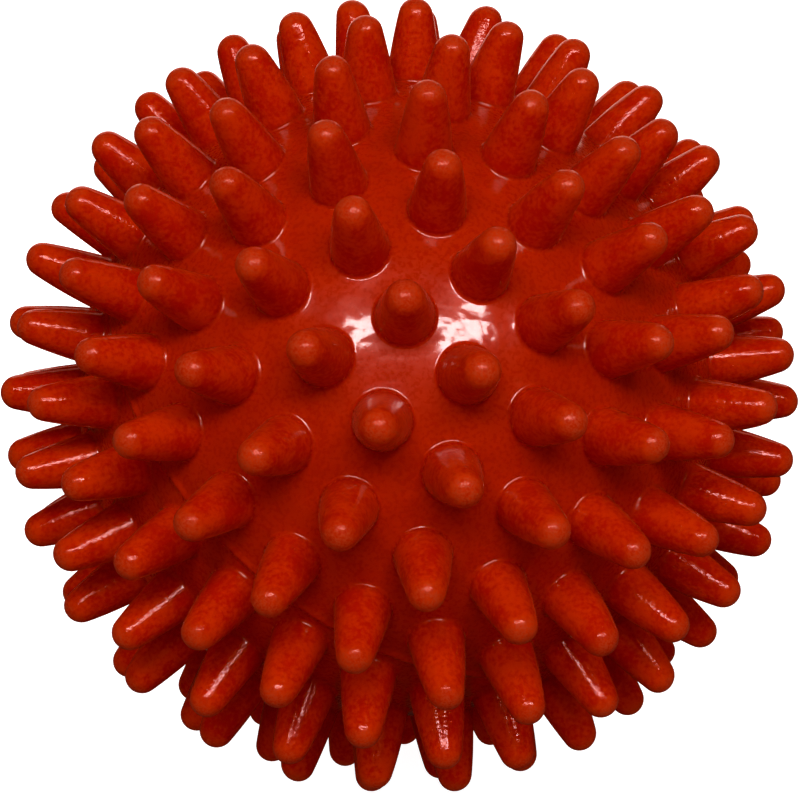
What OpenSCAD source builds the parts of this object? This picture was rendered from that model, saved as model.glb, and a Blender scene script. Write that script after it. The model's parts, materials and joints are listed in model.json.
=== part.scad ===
// Spiky massage ball: a hollow ball of soft plastic, moulded as two half shells that are
// bonded at the equator, with a plug valve in the lower pole.
// Millimetres, +Z up. The origin is the centre of the ball, which stands on three spikes.

/* [Ball] */
// Diameter over the tips of the spikes
overall_d = 90; // [84:1:100]
// Thickness of the shell's wall
wall = 3; // [2.6:0.1:4]
// How far the bonded seam stands proud of the shell
seam_proud = 0.25; // [0.1:0.05:0.4]
// Height of the lip that centres the lower half in the upper half
lip_h = 2; // [1:0.1:3]

/* [Spikes] */
// Height of a spike above the shell
spike_h = 8.7; // [7:0.1:9]
// Diameter of a spike where it meets the shell
spike_base_d = 6; // [5.2:0.1:6.2]
// Diameter of a spike at half its height
spike_mid_d = 5; // [4.4:0.1:5.2]
// Diameter of a spike's round tip
spike_tip_d = 3.8; // [2.6:0.1:4.2]

/* [Valve] */
// Diameter of the hole in the lower shell that holds the valve seat
seat_d = 10; // [9.6:0.1:10.4]
// Diameter of the seat's flange inside the shell
flange_d = 14; // [12:0.5:18]
// Thickness of the seat's flange
flange_t = 2; // [1.6:0.1:3]
// Length of the seat's tube behind the flange
tube_h = 4; // [2:0.5:6]
// Diameter of the seat's bore
bore_d = 4; // [3:0.1:4.4]
// Depth of the recess for the plug's head
recess_h = 1.4; // [1.2:0.1:1.8]
// Length of the plug's shaft under its head
plug_h = 9; // [8:0.5:11]

/* [View] */
// Which piece to draw

/* [Hidden] */

// Facets of the large round forms and of the small ones
ball_fn = 160;
small_fn = 32;

// The spikes stand in rings of latitude, one pitch apart from pole to pole. The entry for
// each ring, from the upper pole down, is how many spikes it has and how far it is turned.
// The valve takes the place of the spike at the lower pole.
ring_spikes = [1, 6, 13, 18, 22, 24, 26, 27, 24, 22, 18, 13, 6];
ring_turn = [0, 44, 10, 3, 1, 1, 9, 3, 4, 0, 10, 5, 20];
ring_pitch = 180 / len(ring_spikes);
upper_rings = [0:6];
lower_rings = [7:12];

// Radii of the shell's faces and of the circle of tip centres
shell_r = overall_d / 2 - spike_h;
inner_r = shell_r - wall;
tip_r = spike_tip_d / 2;
tip_centre_r = overall_d / 2 - tip_r;

// A spike is shaped like a bullet: it tapers gently up to its middle and more steeply above,
// where the cone runs tangent into the round tip. Its root goes on down into the wall.
mid_r = spike_mid_d / 2;
mid_h = spike_h / 2;
root_h = wall / 3;
root_r = mid_r + (spike_base_d / 2 - mid_r) * (mid_h + root_h) / mid_h;
upper_h = tip_centre_r - shell_r - mid_h;
taper = acos(tip_r / norm([mid_r, upper_h])) - atan2(upper_h, mid_r);

// Lap joint at the equator: the lower shell's lip fills a rebate half a wall deep
lip_r = shell_r - wall / 2;

// The ball stands on one spike of stand_ring and the two of the ring below it that
// straddle it, so it leans over until those three tips are level.
stand_ring = 9;
stand_a = stand_ring * ring_pitch;
stand_b = stand_a + ring_pitch;
straddle = 180 / ring_spikes[stand_ring + 1];
stand_rise = cos(stand_a) - cos(stand_b);
stand_run = sin(stand_b) * cos(straddle) - sin(stand_a);
rest_tilt = 180 - atan2(stand_rise, stand_run);
// Turn of the ball about the vertical
rest_yaw = -44;

// Valve: heights along its axis are measured outwards from the centre of the ball
flange_z = inner_r - flange_t;
tube_z = flange_z - tube_h;
tube_d = bore_d + 4;
recess_z = shell_r - recess_h;
recess_d = seat_d - 2;
// Running clearance on the radius of the shaft, and gaps round and under the head
shaft_clearance = 0.05;
head_gap = 0.2;
under_head_gap = 0.05;
head_r = recess_d / 2 - head_gap;
head_z = recess_z + under_head_gap;
head_h = recess_h - head_gap;
head_round = 0.3;
shaft_r = bore_d / 2 - shaft_clearance;
shaft_taper_h = 1.6;
shaft_end_r = shaft_r - 0.7;
nail_notch_r = 0.8;

ball_color = [0.86, 0.13, 0.05];
valve_color = [0.80, 0.12, 0.05];
plug_color = [0.72, 0.10, 0.05];
// Far enough past a face for a clean cut
cut = 1;

// Turns the mould's axis, which is +Z in the modules below, to where it lies at rest
module at_rest() {
    rotate([0, rest_tilt, rest_yaw]) children();
}

// Puts +Z along the valve's axis, outwards through the lower pole
module at_valve() {
    at_rest() rotate([180, 0, 0]) children();
}

module spike() {
    rotate_extrude($fn = small_fn) polygon([
        [0, shell_r - root_h],
        [root_r, shell_r - root_h],
        [mid_r, shell_r + mid_h],
        [tip_r * cos(taper), tip_centre_r + tip_r * sin(taper)],
        [0, tip_centre_r + tip_r * sin(taper)],
    ]);
    translate([0, 0, tip_centre_r]) sphere(tip_r, $fn = small_fn);
}

module spikes(rings) {
    for (ring = rings, i = [0:ring_spikes[ring] - 1])
        rotate([0, ring * ring_pitch, ring_turn[ring] + i * 360 / ring_spikes[ring]]) spike();
}

// Half of the hollow ball above z = 0, with its half of the seam
module half_shell() {
    intersection() {
        union() {
            difference() {
                sphere(shell_r, $fn = ball_fn);
                sphere(inner_r, $fn = ball_fn);
            }
            rotate_extrude($fn = ball_fn)
                translate([shell_r, 0]) circle(seam_proud, $fn = small_fn);
        }
        cylinder(h = overall_d, r = overall_d);
    }
}

module upper_shell() {
    color(ball_color) at_rest() {
        difference() {
            half_shell();
            translate([0, 0, -cut]) cylinder(h = lip_h + cut, r = lip_r, $fn = ball_fn);
        }
        spikes(upper_rings);
    }
}

module lower_shell() {
    color(ball_color) at_rest() {
        difference() {
            mirror([0, 0, 1]) half_shell();
            translate([0, 0, -overall_d / 2]) cylinder(h = wall * 5, d = seat_d, $fn = small_fn);
        }
        lip();
        spikes(lower_rings);
    }
}

// The lip stands on the lower shell's rim and follows the inside of the ball
module lip() {
    difference() {
        translate([0, 0, -lip_h / 2]) cylinder(h = lip_h * 1.5, r = lip_r, $fn = ball_fn);
        sphere(inner_r, $fn = ball_fn);
    }
}

module valve_seat() {
    color(valve_color) at_valve() difference() {
        union() {
            translate([0, 0, tube_z])
                cylinder(h = flange_z - tube_z + flange_t / 2, d = tube_d, $fn = small_fn);
            intersection() {
                translate([0, 0, flange_z])
                    cylinder(h = flange_t + cut, d = flange_d, $fn = small_fn);
                sphere(inner_r, $fn = ball_fn);
            }
            intersection() {
                translate([0, 0, flange_z]) cylinder(h = wall * 2, d = seat_d, $fn = small_fn);
                sphere(shell_r, $fn = ball_fn);
            }
        }
        translate([0, 0, tube_z - cut])
            cylinder(h = overall_d / 2, d = bore_d, $fn = small_fn);
        translate([0, 0, recess_z]) cylinder(h = recess_h + cut, d = recess_d, $fn = small_fn);
    }
}

module valve_plug() {
    color(plug_color) at_valve() translate([0, 0, head_z]) difference() {
        rotate_extrude($fn = small_fn) polygon([
            [0, -plug_h],
            [shaft_end_r, -plug_h],
            [shaft_r, shaft_taper_h - plug_h],
            [shaft_r, 0],
            [head_r, 0],
            [head_r, head_h - head_round],
            [head_r - head_round, head_h],
            [0, head_h],
        ]);
        translate([head_r, 0, head_h]) sphere(nail_notch_r, $fn = small_fn);
    }
}

upper_shell();
lower_shell();
valve_seat();
valve_plug();
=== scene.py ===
"""A spiky massage ball: glossy soft-plastic half shells with moulded spikes, and a plug valve."""

import json
import math
import random

import bmesh
import bpy
import numpy as np
from mathutils import Matrix, Vector
from mathutils.geometry import delaunay_2d_cdt

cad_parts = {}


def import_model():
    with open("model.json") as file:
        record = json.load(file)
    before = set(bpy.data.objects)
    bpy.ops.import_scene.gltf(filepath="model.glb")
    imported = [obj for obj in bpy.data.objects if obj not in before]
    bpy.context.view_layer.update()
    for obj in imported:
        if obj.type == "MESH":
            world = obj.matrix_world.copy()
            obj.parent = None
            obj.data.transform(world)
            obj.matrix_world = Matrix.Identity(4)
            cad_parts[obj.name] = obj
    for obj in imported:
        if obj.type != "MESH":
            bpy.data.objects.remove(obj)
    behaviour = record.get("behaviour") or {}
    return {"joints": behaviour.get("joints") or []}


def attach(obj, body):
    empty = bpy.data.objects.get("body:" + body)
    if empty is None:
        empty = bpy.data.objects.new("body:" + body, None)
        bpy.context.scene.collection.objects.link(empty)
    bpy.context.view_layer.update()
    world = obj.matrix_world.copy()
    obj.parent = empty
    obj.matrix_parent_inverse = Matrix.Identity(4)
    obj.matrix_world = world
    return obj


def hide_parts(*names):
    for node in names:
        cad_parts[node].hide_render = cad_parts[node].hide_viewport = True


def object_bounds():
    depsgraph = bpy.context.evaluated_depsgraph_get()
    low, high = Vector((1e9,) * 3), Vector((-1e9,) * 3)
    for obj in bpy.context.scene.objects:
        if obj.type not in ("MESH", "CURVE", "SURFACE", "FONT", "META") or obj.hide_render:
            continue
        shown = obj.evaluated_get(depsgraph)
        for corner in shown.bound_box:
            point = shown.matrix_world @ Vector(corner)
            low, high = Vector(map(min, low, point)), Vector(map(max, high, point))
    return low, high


MM = 0.001

# The ball's own sizes, the same as the frame's
OVERALL_D = 90 * MM
WALL = 3 * MM
SPIKE_H = 8.7 * MM
SPIKE_BASE_R = 3 * MM
SPIKE_MID_R = 2.5 * MM
TIP_R = 1.9 * MM
SEAM_PROUD = 0.25 * MM
LIP_H = 2 * MM
SHELL_R = OVERALL_D / 2 - SPIKE_H
INNER_R = SHELL_R - WALL
LIP_R = SHELL_R - WALL / 2
TIP_CENTRE_R = OVERALL_D / 2 - TIP_R

# Rings of spikes from the upper pole down: how many each has, and how far it is turned
RING_SPIKES = [1, 6, 13, 18, 22, 24, 26, 27, 24, 22, 18, 13, 6]
RING_TURN = [0, 44, 10, 3, 1, 1, 9, 3, 4, 0, 10, 5, 20]
RING_PITCH = 180 / len(RING_SPIKES)
UPPER_RINGS = range(0, 7)
LOWER_RINGS = range(7, 13)

# Detail that only shows up close
FILLET_R = 0.45 * MM
SEAM_HALF_W = 0.7 * MM
TIP_LEAN = 0.15 * MM
# Spikes that point down more than this carry the ball, so they don't lean
STANDING = -0.98

# How finely the meshes are divided
SKIN_SPACING = 1.2 * MM
SPIKE_SIDES = 32
ROUND_SIDES = 144
FILLET_STEPS = 5
SIDE_STEPS = 9
TIP_STEPS = 7
SEAM_STEPS = 6
INSIDE_STEPS = 24

# The valve, as in the frame. Heights are measured outwards from the centre of the ball.
SEAT_R = 5 * MM
FLANGE_R = 7 * MM
FLANGE_H = 2 * MM
TUBE_R = 4 * MM
TUBE_H = 4 * MM
BORE_R = 2 * MM
RECESS_R = 4 * MM
RECESS_H = 1.4 * MM
PLUG_H = 9 * MM
SHAFT_R = 1.95 * MM
SHAFT_END_R = 1.25 * MM
SHAFT_TAPER_H = 1.6 * MM
HEAD_R = 3.8 * MM
HEAD_H = 1.2 * MM
HEAD_GAP = 0.05 * MM
NAIL_NOTCH_R = 0.8 * MM
DIMPLE_R = 1.6 * MM
DIMPLE_H = 0.15 * MM
SEAT_EDGE_R = 0.15 * MM
PLUG_EDGE_R = 0.3 * MM

# Edges that turn more than this, in degrees, look sharp: on the shells and on the valve
SHELL_SHARP_ANGLE = 50
VALVE_SHARP_ANGLE = 35

# Camera: angles from the ball, and the distance from its centre
CAMERA_AZIMUTH = 0.2
CAMERA_ELEVATION = 11.6
CAMERA_DISTANCE = 244 * MM
CAMERA_LENS_MM = 95.9
AIM_BELOW_CENTRE = 0.3 * MM

# Reds of the shell and of the spikes, each from dark to light, of the tips with their frost,
# and of the valve. The ball is one plastic: the shell's reds are darker as painted shade
# between the spikes, and the spikes' reds lighter as a painted glow of light through them.
# The tips' red is paler partly from the frost's own colour and partly as a painted highlight.
SHELL_REDS_PAINTED_SHADE = ((0.39, 0.02, 0.0, 1), (0.445, 0.026, 0.001, 1))
SPIKE_REDS_PAINTED_GLOW = ((0.44, 0.018, 0.0, 1), (0.54, 0.041, 0.003, 1))
TIP_RED_FROST_AND_HIGHLIGHT = (0.47, 0.055, 0.018, 1)
SEAT_RED = (0.36, 0.010, 0.002, 1)
PLUG_RED = (0.28, 0.008, 0.002, 1)
# How far red, green and blue light scatter in the plastic, as parts of the scale
SCATTER = (1.0, 0.12, 0.04)

# Roughness of each surface, from its smoothest grain to its roughest
SHELL_ROUGHNESS = (0.24, 0.34)
SPIKE_ROUGHNESS = (0.12, 0.24)
TIP_ROUGHNESS = 0.25
SEAT_ROUGHNESS = (0.25, 0.35)
PLUG_ROUGHNESS = (0.35, 0.45)
# Weight of the clear coat, which the tips don't have
SHELL_COAT = 0.5
SPIKE_COAT = 0.12

# Strength of the even light from all round: on surfaces, in reflections and in view
WORLD_ON_SURFACES = 0.25
WORLD_IN_REFLECTIONS = 0.02
WORLD_IN_VIEW = 1.0
# How far the lamps are from the ball, in metres
LAMP_DISTANCE = 0.6
BACK_LIGHT_COLOUR = (1.0, 0.6, 0.52)
# Brightness that comes out as black in the picture
BLACK_LEVEL = 0.005


def direction(azimuth, elevation):
    """Unit vector from the ball. Azimuth 0 is towards -Y, where the camera stands."""
    a = math.radians(azimuth)
    e = math.radians(elevation)
    return Vector((math.sin(a) * math.cos(e), -math.cos(a) * math.cos(e), math.sin(e)))


class Skin:
    """Points and faces of one piece, gathered ring by ring."""

    def __init__(self):
        self.points = []
        self.faces = []

    def ring(self, points):
        """Adds points and returns their numbers."""
        start = len(self.points)
        self.points.extend(points)
        return list(range(start, len(self.points)))

    def bridge(self, lower, upper):
        """Joins two rings of as many points with a band of quads."""
        for i in range(len(lower)):
            j = (i + 1) % len(lower)
            self.faces.append((lower[i], lower[j], upper[j], upper[i]))

    def cap(self, ring, point):
        """Closes a ring with a fan of triangles to one point."""
        (tip,) = self.ring([point])
        for i in range(len(ring)):
            self.faces.append((ring[i], ring[(i + 1) % len(ring)], tip))

    def revolve(self, profile, first=None):
        """Turns a profile of (radius, height) about Z and returns its last ring.
        It starts from an existing ring if one is given, and a radius of 0 closes it."""
        last = first
        for radius, height in profile:
            if radius == 0:
                self.cap(last, (0, 0, height))
                return None
            new = self.ring(circle(radius, height, ROUND_SIDES))
            if last:
                self.bridge(last, new)
            last = new
        return last

    def piece(self, name, placing, sharp_angle=SHELL_SHARP_ANGLE):
        """Makes the object, placed by a matrix, with smooth faces and sharp corners."""
        mesh = bpy.data.meshes.new(name)
        mesh.from_pydata([tuple(p) for p in self.points], [], self.faces)
        bm = bmesh.new()
        bm.from_mesh(mesh)
        bmesh.ops.recalc_face_normals(bm, faces=bm.faces)
        bm.to_mesh(mesh)
        bm.free()
        mesh.transform(placing)
        mesh.shade_smooth()
        mesh.set_sharp_from_angle(angle=math.radians(sharp_angle))
        obj = bpy.data.objects.new(name, mesh)
        bpy.context.collection.objects.link(obj)
        return obj


def circle(radius, height, sides):
    """Points on a level circle round Z."""
    turns = [2 * math.pi * i / sides for i in range(sides)]
    return [(radius * math.cos(t), radius * math.sin(t), height) for t in turns]


def arc(centre, radius, start, end, steps):
    """Points on an arc, in degrees, as (radius from the axis, height)."""
    angles = [math.radians(start + (end - start) * i / steps) for i in range(steps + 1)]
    return [(centre[0] + radius * math.cos(a), centre[1] + radius * math.sin(a)) for a in angles]


def spike_profile():
    """Outline of a spike from its foot on the shell to its tip, as (radius, height). Its side
    is bullet-shaped: a curve that runs tangent into the round tip. A fillet joins it to the
    shell."""
    base = Vector((SPIKE_BASE_R, SHELL_R))
    middle = Vector((SPIKE_MID_R, SHELL_R + SPIKE_H / 2))
    low_side = (middle - base).normalized()
    low_normal = Vector((low_side.y, -low_side.x))
    offset = base.dot(low_normal) + FILLET_R
    rise = math.sqrt((SHELL_R + FILLET_R) ** 2 - offset**2)
    centre = low_normal * offset + low_side * rise
    foot_angle = math.degrees(math.atan2(-centre.y, -centre.x))
    side_angle = math.degrees(math.atan2(low_normal.y, low_normal.x)) - 180
    fillet = arc(centre, FILLET_R, foot_angle, side_angle, FILLET_STEPS)

    to_tip = TIP_CENTRE_R - middle.y
    reach = math.hypot(SPIKE_MID_R, to_tip)
    taper = math.acos(TIP_R / reach) - math.atan2(to_tip, SPIKE_MID_R)
    start = Vector(fillet[-1])
    end = Vector((TIP_R * math.cos(taper), TIP_CENTRE_R + TIP_R * math.sin(taper)))
    side = []
    for i in range(1, SIDE_STEPS):
        t = i / SIDE_STEPS
        side.append(tuple(start.lerp(middle, t).lerp(middle.lerp(end, t), t)))
    tip = arc((0, TIP_CENTRE_R), TIP_R, math.degrees(taper), 90, TIP_STEPS)[:-1]
    return fillet + side + tip + [(0, OVERALL_D / 2)]


def spike_directions(rings, flip):
    """Unit vectors of the spikes. The lower half is flipped over so that its pole is +Z."""
    found = []
    for ring in rings:
        polar = math.radians(ring * RING_PITCH)
        across = math.sin(polar)
        for i in range(RING_SPIKES[ring]):
            a = math.radians(RING_TURN[ring] + i * 360 / RING_SPIKES[ring])
            found.append(flip @ Vector((across * math.cos(a), across * math.sin(a), math.cos(polar))))
    return found


def add_spike(skin, axis, profile, lean):
    """Adds a spike that leans a little towards its tip, and returns the ring at its foot."""
    across = axis.orthogonal().normalized()
    beside = axis.cross(across)
    turns = circle(1, 0, SPIKE_SIDES)
    foot_z = profile[0][1]
    first = last = None
    for radius, height in profile:
        bend = lean * ((height - foot_z) / SPIKE_H) ** 2
        middle = axis * height + across * bend.x + beside * bend.y
        if radius == 0:
            skin.cap(last, middle)
            break
        ring = skin.ring([middle + across * (radius * x) + beside * (radius * y) for x, y, _ in turns])
        if last:
            skin.bridge(last, ring)
        first = first or ring
        last = ring
    return first


def shell_points(axes, foot_angle, low_z, hole_angle):
    """Even points on the shell between the spikes, by the golden-angle spiral."""
    whole = int(4 * math.pi * SHELL_R**2 / (SKIN_SPACING**2 * math.sin(math.pi / 3)))
    i = np.arange(whole) + 0.5
    z = 1 - 2 * i / whole
    turn = i * math.pi * (3 - math.sqrt(5))
    flat = np.sqrt(1 - z**2)
    spots = np.stack([flat * np.cos(turn), flat * np.sin(turn), z], axis=1)
    half_step = SKIN_SPACING / 2 / SHELL_R
    clear = (spots @ np.array(axes).T).max(axis=1) < math.cos(foot_angle + half_step)
    clear &= z > low_z / SHELL_R + half_step
    clear &= z < math.cos(hole_angle + half_step)
    return [Vector(p) * SHELL_R for p in spots[clear]]


def fill_shell(skin, loops, loose, axes, foot_angle, hole_angle):
    """Covers the shell between the loops with triangles. The points are flattened by a
    stereographic projection, which keeps circles round, and joined by Delaunay's rule."""
    free = skin.ring(loose)
    ids = [i for loop in loops for i in loop] + free
    spots = [Vector(skin.points[i]) / SHELL_R for i in ids]
    flat = [Vector((p.x / (1 + p.z), p.y / (1 + p.z))) for p in spots]
    edges = []
    start = 0
    for loop in loops:
        edges += [(start + i, start + (i + 1) % len(loop)) for i in range(len(loop))]
        start += len(loop)
    same_spot = 1e-7
    _, _, faces, origins, _, _ = delaunay_2d_cdt(flat, edges, [], 0, same_spot)
    names = [o[0] for o in origins]

    # Faces whose middle lies inside a spike's foot or in the hole are left out
    almost_foot = 0.995
    under_spike = math.cos(foot_angle * almost_foot)
    for face in faces:
        corners = [names[c] for c in face]
        middle = sum((spots[c] for c in corners), Vector()).normalized()
        on_spike = max(middle.dot(a) for a in axes) > under_spike
        in_hole = middle.z > math.cos(hole_angle)
        if not on_spike and not in_hole:
            skin.faces.append(tuple(ids[c] for c in corners))


def grow_spikes(skin, axes, mould_to_rest, profile):
    """Adds the spikes, each with its own small lean, and returns the rings at their feet."""
    dice = random.Random(len(axes))
    feet = []
    for axis in axes:
        lean = Vector((dice.gauss(0, TIP_LEAN), dice.gauss(0, TIP_LEAN)))
        if (mould_to_rest @ axis).z < STANDING:
            lean = Vector((0, 0))
        feet.append(add_spike(skin, axis, profile, lean))
    return feet


def seam_profile():
    """Outline of the seam's ridge from its edge, where it fades into the shell, to its crest."""
    outline = []
    for i in range(SEAM_STEPS + 1):
        z = SEAM_HALF_W * (1 - i / SEAM_STEPS)
        proud = SEAM_PROUD * (1 + math.cos(math.pi * z / SEAM_HALF_W)) / 2
        outline.append((math.sqrt(SHELL_R**2 - z**2) + proud, z))
    return outline


def inside_profile(lip, hole_r):
    """Outline from the seam along the lap joint and the inside to the pole, or to the hole
    there. The joint's step goes into one half and stands up from the other."""
    step = -LIP_H if lip else LIP_H
    inner_edge = math.sqrt(INNER_R**2 - LIP_H**2)
    joint = [(LIP_R, 0), (LIP_R, step), (inner_edge, step)]
    start = math.degrees(math.asin(step / INNER_R))
    end = 90 - math.degrees(math.asin(hole_r / INNER_R))
    inside = arc((0, 0), INNER_R, start, end, INSIDE_STEPS)[1:]
    if hole_r == 0:
        inside[-1] = (0, INNER_R)
    return joint + inside


def half_shell(name, rings, flip, placing, lip=False, hole_r=0):
    """One half of the ball as a closed wall: its spikes and skin, the seam's ridge, the
    lap joint at the equator, the inside, and the hole at its pole if it has one."""
    skin = Skin()
    profile = spike_profile()
    foot_angle = math.atan2(*profile[0])
    axes = spike_directions(rings, flip)
    loops = grow_spikes(skin, axes, placing.to_3x3() @ flip, profile)
    seam = seam_profile()
    edge = skin.revolve(seam[:1])
    rim = skin.revolve(seam[1:], edge)
    loops.append(edge)
    if hole_r:
        hole = skin.revolve([(hole_r, math.sqrt(SHELL_R**2 - hole_r**2))])
        loops.append(hole)

    hole_angle = math.asin(hole_r / SHELL_R)
    loose = shell_points(axes, foot_angle, SEAM_HALF_W, hole_angle)
    fill_shell(skin, loops, loose, axes, foot_angle, hole_angle)
    end = skin.revolve(inside_profile(lip, hole_r), rim)
    if hole_r:
        skin.bridge(end, hole)
    return skin.piece(name, placing @ flip.to_4x4())


def valve_seat(placing):
    """The soft insert: a tube and a flange inside the wall, flush with the ball outside."""
    skin = Skin()
    edge = SEAT_EDGE_R
    flange_low = INNER_R - FLANGE_H
    tube_low = flange_low - TUBE_H
    recess_z = SHELL_R - RECESS_H
    seat_z = math.sqrt(SHELL_R**2 - SEAT_R**2)
    lip_z = math.sqrt(SHELL_R**2 - RECESS_R**2)
    flange_angle = math.degrees(math.acos(FLANGE_R / INNER_R))
    seat_angle = math.degrees(math.acos(SEAT_R / INNER_R))
    profile = [(BORE_R, tube_low)]
    profile += [(TUBE_R - edge, tube_low), (TUBE_R, tube_low + edge), (TUBE_R, flange_low)]
    profile += [(FLANGE_R - edge, flange_low), (FLANGE_R, flange_low + edge)]
    profile += arc((0, 0), INNER_R, flange_angle, seat_angle, steps=6)
    # The top slopes outwards with the ball, so its two round edges turn by different angles
    profile += arc((SEAT_R - edge, seat_z - edge), edge, start=0, end=80, steps=4)
    profile += arc((RECESS_R + edge, lip_z - edge), edge, start=95, end=180, steps=4)
    profile += [(RECESS_R, recess_z), (BORE_R + edge, recess_z), (BORE_R, recess_z - edge)]
    first = skin.revolve(profile[:1])
    last = skin.revolve(profile[1:], first)
    skin.bridge(last, first)
    return skin.piece("valve_seat_soft", placing, VALVE_SHARP_ANGLE)


def valve_plug(placing):
    """The plug: a flat head with a rounded edge, a dimple and a nail notch, and a shaft that
    tapers at its end."""
    skin = Skin()
    edge = PLUG_EDGE_R
    low = SHELL_R - RECESS_H + HEAD_GAP
    top = low + HEAD_H
    bottom = low - PLUG_H
    profile = [(SHAFT_END_R - edge, bottom)]
    profile += arc((SHAFT_END_R - edge, bottom + edge), edge, start=-60, end=0, steps=3)
    profile += [(SHAFT_R, bottom + SHAFT_TAPER_H), (SHAFT_R, low)]
    profile += [(HEAD_R - edge / 2, low), (HEAD_R, low + edge / 2)]
    profile += arc((HEAD_R - edge, top - edge), edge, start=0, end=90, steps=5)
    profile += [(DIMPLE_R + edge, top)]
    for part in (0.1, 0.3, 0.6):
        profile += [(DIMPLE_R * (1 - part), top - DIMPLE_H * math.sin(part * math.pi / 2))]
    profile += [(0, top - DIMPLE_H)]
    first = skin.revolve(profile[:1])
    skin.cap(first[::-1], (0, 0, bottom))
    skin.revolve(profile[1:], first)
    plug = skin.piece("valve_plug_soft", placing)
    cut_notch(plug, placing @ Matrix.Translation((HEAD_R, 0, top)))
    return plug


def cut_notch(plug, placing):
    """Cuts the round notch for a fingernail into the edge of the plug's head."""
    sides = 32
    bm = bmesh.new()
    bmesh.ops.create_uvsphere(
        bm, u_segments=sides, v_segments=sides // 2, radius=NAIL_NOTCH_R, matrix=placing
    )
    ball = bpy.data.meshes.new("notch")
    bm.to_mesh(ball)
    bm.free()
    cutter = bpy.data.objects.new("notch", ball)
    bpy.context.collection.objects.link(cutter)
    boolean = plug.modifiers.new("notch", "BOOLEAN")
    boolean.object = cutter
    whole = plug.evaluated_get(bpy.context.evaluated_depsgraph_get())
    mesh = bpy.data.meshes.new_from_object(whole)
    plug.modifiers.clear()
    bpy.data.objects.remove(cutter)
    plug.data = mesh
    mesh.shade_smooth()
    mesh.set_sharp_from_angle(angle=math.radians(VALVE_SHARP_ANGLE))


class Nodes:
    """A material's node tree, with short calls to add nodes and link them."""

    def __init__(self, name):
        self.material = bpy.data.materials.new(name)
        self.material.use_nodes = True
        self.tree = self.material.node_tree
        self.shader = self.tree.nodes["Principled BSDF"]

    def set(self, **values):
        """Sets inputs of the shader, named with _ for each space."""
        for socket, value in values.items():
            self.shader.inputs[socket.replace("_", " ")].default_value = value

    def add(self, kind, inputs=(), **settings):
        """Adds a node. An input is either a value or another node's socket."""
        node = self.tree.nodes.new(kind)
        for key, value in settings.items():
            setattr(node, key, value)
        for socket, value in dict(inputs).items():
            if isinstance(value, bpy.types.NodeSocket):
                self.tree.links.new(value, node.inputs[socket])
            else:
                node.inputs[socket].default_value = value
        return node

    def math(self, operation, a, b):
        return self.add("ShaderNodeMath", {0: a, 1: b}, operation=operation).outputs[0]

    def times(self, a, b):
        return self.math("MULTIPLY", a, b)

    def ramp(self, value, low, high, to_low=0.0, to_high=1.0):
        """Takes a value smoothly from one range to another."""
        inputs = {"Value": value, "From Min": low, "From Max": high}
        inputs.update({"To Min": to_low, "To Max": to_high})
        node = self.add("ShaderNodeMapRange", inputs, interpolation_type="SMOOTHSTEP")
        return node.outputs["Result"]

    def spread(self, noise, to_low=0.0, to_high=1.0, reach=0.2):
        """Takes noise to another range. Most noise is within this reach of its middle."""
        middle = 0.5
        return self.ramp(noise, middle - reach, middle + reach, to_low, to_high)

    def noise(self, place, size, detail=2.0):
        """Noise whose blotches are about this big, in metres."""
        inputs = {"Vector": place, "Scale": 1 / size, "Detail": detail}
        return self.add("ShaderNodeTexNoise", inputs).outputs["Fac"]

    def layers(self, place, size, along, spacing):
        """Noise in thin uneven layers, about this far apart along a value, which change
        slowly from place to place."""
        inputs = {"Vector": place, "Scale": 1 / size, "Detail": 1.0}
        inputs["W"] = self.times(along, size / spacing)
        return self.add("ShaderNodeTexNoise", inputs, noise_dimensions="4D").outputs["Fac"]

    def blend(self, factor, a, b):
        """Mixes two values."""
        return self.add("ShaderNodeMix", {"Factor": factor, 2: a, 3: b}).outputs[0]

    def mix(self, factor, a, b):
        """Mixes two colours."""
        node = self.add("ShaderNodeMix", {"Factor": factor, 6: a, 7: b}, data_type="RGBA")
        return node.outputs[2]

    def link(self, socket, value):
        """Links a node's socket to an input of the shader."""
        self.tree.links.new(value, self.shader.inputs[socket])

    def bump(self, layers, normals):
        """Adds up layers of (pattern, depth in metres) as relief on the shader's normals."""
        height = 0.0
        for pattern, depth in layers:
            height = self.math("ADD", height, self.times(pattern, depth))
        bump = self.add("ShaderNodeBump", {"Height": height, "Strength": 1.0, "Distance": 1.0})
        for normal in normals:
            self.link(normal, bump.outputs["Normal"])


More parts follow.
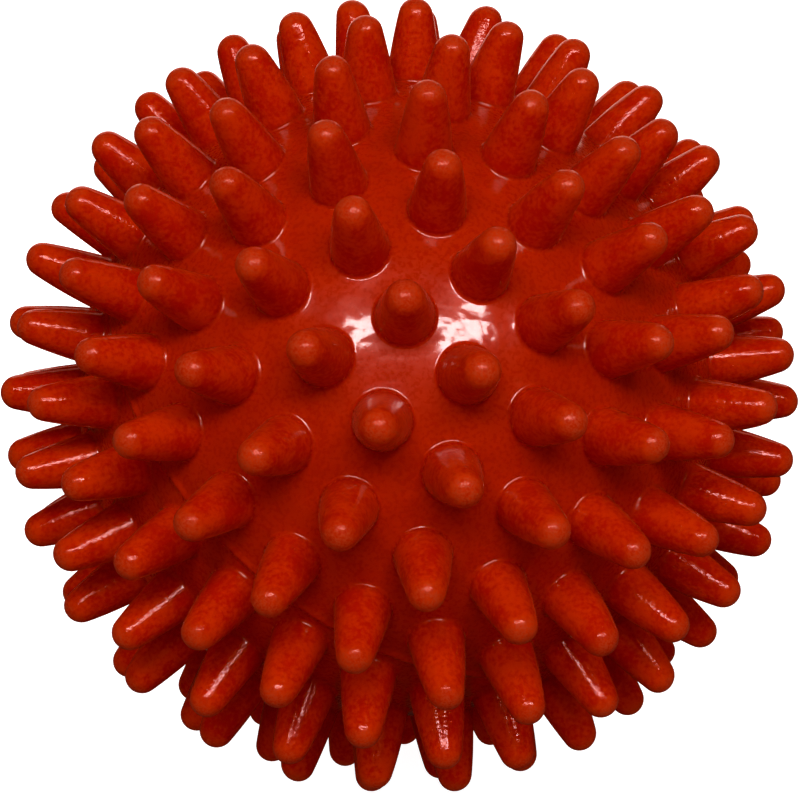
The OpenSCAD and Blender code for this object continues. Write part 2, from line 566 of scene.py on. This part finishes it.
def ball_plastic():
    """Soft PVC: a mottled glossy skin, spikes with faint turned ridges, tips with a frost. The
    shell's red holds painted shade between the spikes, the spikes' red a painted glow, and
    the tips' red partly a painted highlight.
    """
    n = Nodes("ball_plastic")
    place = n.add("ShaderNodeTexCoord").outputs["Object"]
    out = n.add("ShaderNodeVectorMath", {0: place}, operation="LENGTH").outputs["Value"]

    # The spikes' skin takes over from the shell's just above their feet, and the frosting sets in
    # where their tips begin to round off. These masks also carry the painted shade, glow and
    # highlight in the reds.
    feet_low = SHELL_R + 0.1 * MM
    feet_high = SHELL_R + 0.9 * MM
    on_spike = n.ramp(out, feet_low, feet_high)
    frost_low = TIP_CENTRE_R + 0.1 * TIP_R
    on_tip = n.ramp(out, frost_low, OVERALL_D / 2)
    blotches = n.noise(place, size=3 * MM, detail=3)
    grain = n.noise(place, size=0.45 * MM, detail=3)
    frost = n.noise(place, size=0.22 * MM)

    lightness = n.spread(n.blend(0.5, blotches, grain), reach=0.12)
    # The shell's darker reds are painted shade between the spikes, and the spikes' lighter reds a
    # painted glow of light through them
    red = n.mix(on_spike, n.mix(lightness, *SHELL_REDS_PAINTED_SHADE), n.mix(lightness, *SPIKE_REDS_PAINTED_GLOW))
    # The tips' paler, pinker red is partly the frost's own colour and partly a painted broad highlight
    frost_and_highlight = n.times(on_tip, n.spread(frost, to_low=0.2, reach=0.15))
    n.link("Base Color", n.mix(frost_and_highlight, red, TIP_RED_FROST_AND_HIGHLIGHT))

    shell_rough = n.spread(grain, *SHELL_ROUGHNESS)
    spike_rough = n.spread(grain, *SPIKE_ROUGHNESS)
    skin_rough = n.blend(on_spike, shell_rough, spike_rough)
    n.link("Roughness", n.blend(on_tip, skin_rough, TIP_ROUGHNESS))
    spike_coat = n.ramp(on_tip, 0, 1, to_low=SPIKE_COAT, to_high=0.0)
    n.link("Coat Weight", n.blend(on_spike, SHELL_COAT, spike_coat))

    # Relief: slow swells and fine grain all over; on the spikes orange peel and turned
    # ridges, which are deeper in some places than in others; a blasted surface on the tips
    swells = n.noise(place, size=1.6 * MM, detail=1)
    peel = n.noise(place, size=0.35 * MM, detail=1)
    uneven = n.spread(n.noise(place, size=5 * MM), to_low=0.5, to_high=1.3, reach=0.15)
    ridges = n.times(n.layers(place, size=4 * MM, along=out, spacing=0.35 * MM), uneven)
    relief = [
        (swells, 0.05 * MM),
        (grain, 0.01 * MM),
        (n.times(peel, on_spike), 0.03 * MM),
        (n.times(ridges, on_spike), 0.025 * MM),
        (n.times(frost, on_tip), 0.02 * MM),
    ]
    n.bump(relief, ["Normal", "Coat Normal"])

    n.set(IOR=1.5, Specular_IOR_Level=0.25, Specular_Tint=(1.0, 0.45, 0.42, 1))
    n.set(Coat_Roughness=0.08, Coat_IOR=1.5)
    n.set(Sheen_Weight=0.07, Sheen_Roughness=0.35, Sheen_Tint=(1.0, 0.5, 0.42, 1))
    n.set(Subsurface_Weight=0.1, Subsurface_Scale=1.5 * MM, Subsurface_Radius=SCATTER)
    return n.material


def valve_plastic(name, colour, roughness):
    """The valve's plastic: plainer and a little darker than the ball."""
    n = Nodes(name)
    place = n.add("ShaderNodeTexCoord").outputs["Object"]
    grain = n.noise(place, size=0.4 * MM, detail=3)
    shade = 0.8
    shaded = tuple(c * shade for c in colour[:3]) + (1,)
    n.link("Base Color", n.mix(n.spread(grain), shaded, colour))
    n.link("Roughness", n.spread(grain, *roughness))
    n.bump([(grain, 0.02 * MM)], ["Normal"])
    n.set(IOR=1.5, Subsurface_Weight=0.2, Subsurface_Scale=1 * MM, Subsurface_Radius=SCATTER)
    return n.material


def floor_and_backdrop(floor_z):
    """A pale floor that curves up into a backdrop, far enough away to stay out of the way.
    Its sizes are in metres."""
    skin = Skin()
    half_w = 2.5
    front = -2.0
    bend_start = 1.2
    bend_r = 0.8
    height = 2.4
    line = [(front, floor_z), (bend_start, floor_z)]
    line += arc((bend_start, floor_z + bend_r), bend_r, start=-80, end=0, steps=10)
    line += [(bend_start + bend_r, floor_z + height)]
    left = skin.ring([(-half_w, y, z) for y, z in line])
    right = skin.ring([(half_w, y, z) for y, z in line])
    for i in range(len(line) - 1):
        skin.faces.append((left[i], right[i], right[i + 1], left[i + 1]))
    floor = skin.piece("floor", Matrix.Identity(4))
    n = Nodes("floor_paper")
    n.set(Base_Color=(0.6, 0.6, 0.6, 1), Roughness=0.9)
    n.set(Emission_Color=(1, 1, 1, 1), Emission_Strength=0.8)
    floor.data.materials.append(n.material)
    floor.visible_glossy = False
    floor.visible_diffuse = False


def area_light(name, place, target, width, height, power, lights_surfaces=True, reflects=True):
    """A rectangular lamp at a place, facing a target. It can be left out of the diffuse
    light or out of the reflections, as a gauze or a polariser does in a studio."""
    lamp = bpy.data.lights.new(name, "AREA")
    lamp.shape = "RECTANGLE"
    lamp.size = width
    lamp.size_y = height
    lamp.energy = power
    obj = bpy.data.objects.new(name, lamp)
    obj.location = place
    obj.rotation_euler = (Vector(place) - Vector(target)).to_track_quat("Z", "Y").to_euler()
    obj.visible_diffuse = lights_surfaces
    obj.visible_glossy = reflects
    bpy.context.collection.objects.link(obj)
    return lamp


def ball_light(name, azimuth, elevation, **lamp):
    """An area light that faces the ball from a direction."""
    return area_light(name, direction(azimuth, elevation) * LAMP_DISTANCE, (0, 0, 0), **lamp)


def studio_world():
    """Even white light from all round. It is white where the camera sees it, and dim where it
    is seen in a reflection."""
    world = bpy.data.worlds.new("studio")
    world.use_nodes = True
    tree = world.node_tree
    path = tree.nodes.new("ShaderNodeLightPath")
    unseen = tree.nodes.new("ShaderNodeMix")
    unseen.inputs["A"].default_value = WORLD_ON_SURFACES
    unseen.inputs["B"].default_value = WORLD_IN_REFLECTIONS
    tree.links.new(path.outputs["Is Glossy Ray"], unseen.inputs["Factor"])
    strength = tree.nodes.new("ShaderNodeMix")
    strength.inputs["B"].default_value = WORLD_IN_VIEW
    tree.links.new(path.outputs["Is Camera Ray"], strength.inputs["Factor"])
    tree.links.new(unseen.outputs["Result"], strength.inputs["A"])
    background = tree.nodes["Background"]
    background.inputs["Color"].default_value = (1, 1, 1, 1)
    tree.links.new(strength.outputs["Result"], background.inputs["Strength"])
    return world


def lighting():
    """In front, a long low softbox for the highlights, and above it a soft key and below it
    a weak fill that aren't reflected. Behind, two lamps for the ball's far side, and one on
    the backdrop."""
    ball_light("strip_softbox", 4, 34, width=0.55, height=0.06, power=3.3, lights_surfaces=False)
    ball_light("front_key", 4, 36, width=0.5, height=0.15, power=2.05, reflects=False)
    ball_light("low_fill", 0, 12, width=0.5, height=0.2, power=0.35, reflects=False)
    ball_light("back_fill", 200, 6, width=0.6, height=0.4, power=2.5, reflects=False)
    back = ball_light("back_light", 180, 25, width=0.6, height=0.5, power=1.2)
    back.color = BACK_LIGHT_COLOUR
    above = (0, 0.8, 1.0)
    backdrop = (0, 2.0, 0.7)
    area_light("backdrop_light", above, backdrop, width=2.0, height=0.5, power=25, reflects=False)
    scene = bpy.context.scene
    scene.world = studio_world()
    scene.view_settings.view_transform = "Standard"
    scene.view_settings.look = "Medium High Contrast"
    scene.view_settings.use_curve_mapping = True
    scene.view_settings.curve_mapping.black_level = (BLACK_LEVEL,) * 3


def camera():
    """The camera, level, a quarter of a metre from the ball."""
    lens = bpy.data.cameras.new("camera")
    lens.lens = CAMERA_LENS_MM
    lens.clip_start = 0.01
    obj = bpy.data.objects.new("camera", lens)
    place = direction(CAMERA_AZIMUTH, CAMERA_ELEVATION)
    aim = Vector((0, 0, -AIM_BELOW_CENTRE))
    obj.location = place * CAMERA_DISTANCE + aim
    obj.rotation_euler = place.to_track_quat("Z", "Y").to_euler()
    bpy.context.collection.objects.link(obj)
    bpy.context.scene.camera = obj


def main():
    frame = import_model()
    cad_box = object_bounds()
    camera()

    # The valve's joint slides out along the lower pole, which gives the mould's axis
    pole = -Vector(frame["joints"][0]["axis"])
    tilt = math.acos(pole.z)
    yaw = math.atan2(pole.y, pole.x)
    at_rest = Matrix.Rotation(yaw, 4, "Z") @ Matrix.Rotation(tilt, 4, "Y")
    flip = Matrix.Rotation(math.pi, 3, "X")
    keep = Matrix.Identity(3)

    plastic = ball_plastic()
    shells = [
        (half_shell("upper_skin", UPPER_RINGS, keep, at_rest), "upper_shell"),
        (half_shell("lower_skin", LOWER_RINGS, flip, at_rest, lip=True, hole_r=SEAT_R), "lower_shell"),
    ]
    for piece, node in shells:
        piece.data.materials.append(plastic)
        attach(piece, "ball")
        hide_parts(node)

    at_valve = at_rest @ flip.to_4x4()
    seat = valve_seat(at_valve)
    seat.data.materials.append(valve_plastic("seat_plastic", SEAT_RED, SEAT_ROUGHNESS))
    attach(seat, "ball")
    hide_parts("valve_seat")
    plug = valve_plug(at_valve)
    plug.data.materials.append(valve_plastic("plug_plastic", PLUG_RED, PLUG_ROUGHNESS))
    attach(plug, "plug")
    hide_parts("valve_plug")

    floor_and_backdrop(cad_box[0][2])
    lighting()


main()
